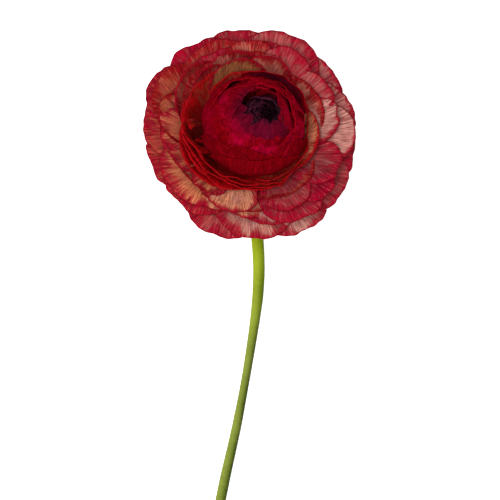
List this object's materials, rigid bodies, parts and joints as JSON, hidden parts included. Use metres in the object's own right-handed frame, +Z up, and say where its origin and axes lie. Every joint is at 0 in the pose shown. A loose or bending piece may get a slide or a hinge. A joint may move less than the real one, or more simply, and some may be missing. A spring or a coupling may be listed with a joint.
{
  "type": "persian buttercup flower",
  "caption": "Cut persian buttercup with a many-petalled crimson and salmon bloom, dark centre, green sepals and a bare stalk lying flat",
  "frame": {"origin": "middle of the flower's bounding box, on the surface that it lies on", "axes": "+Y along the lying flower, from the cut end of the stalk to the bloom; +Z up"},
  "size_m": [0.0837, 0.2149, 0.0469],
  "materials": {
    "stem": "green stalk skin, satin",
    "calyx": "soft green sepal",
    "outer_petals": "matte salmon petal with crimson edge",
    "inner_petals": "satin crimson petal",
    "centre": "dark plum petal"
  },
  "bodies": {
    "root": {"stem": "stem", "calyx": "calyx", "outer_petals": "outer_petals", "inner_petals": "inner_petals", "centre": "centre"}
  },
  "joints": []
}
